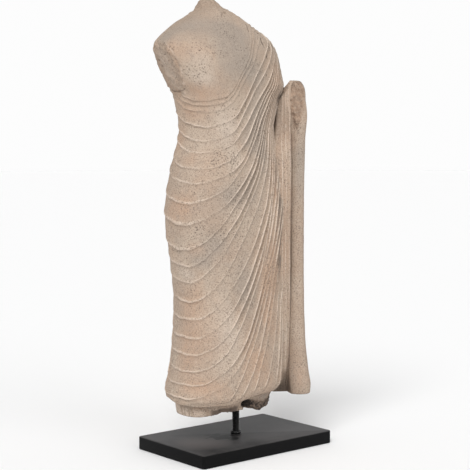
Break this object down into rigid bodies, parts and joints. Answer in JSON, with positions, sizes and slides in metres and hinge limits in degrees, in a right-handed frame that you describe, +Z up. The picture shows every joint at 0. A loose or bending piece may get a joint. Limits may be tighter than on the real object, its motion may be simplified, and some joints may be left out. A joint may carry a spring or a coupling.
{
  "type": "draped torso statue fragment on a rod stand",
  "caption": "Headless, armless standing torso in a robe of carved folds, held over a flat black plate by an upright rod.",
  "frame": {"origin": "centre of the plate's underside", "axes": "+Z up along the rod, -Y the way the figure faces, +X the figure's left and the plate's long side"},
  "size_m": [0.2687, 0.165, 0.6965],
  "materials": {
    "figure": "sandy stone effect, worn pale on the ridges and dark in the grooves",
    "rod": "satin black over a screw thread",
    "rod_collar": "gloss black, uneven",
    "base_plate": "satin black paint"
  },
  "bodies": {
    "root": {"figure": "figure", "rod": "rod", "rod_collar": "rod_collar", "base_plate": "base_plate"}
  },
  "joints": []
}
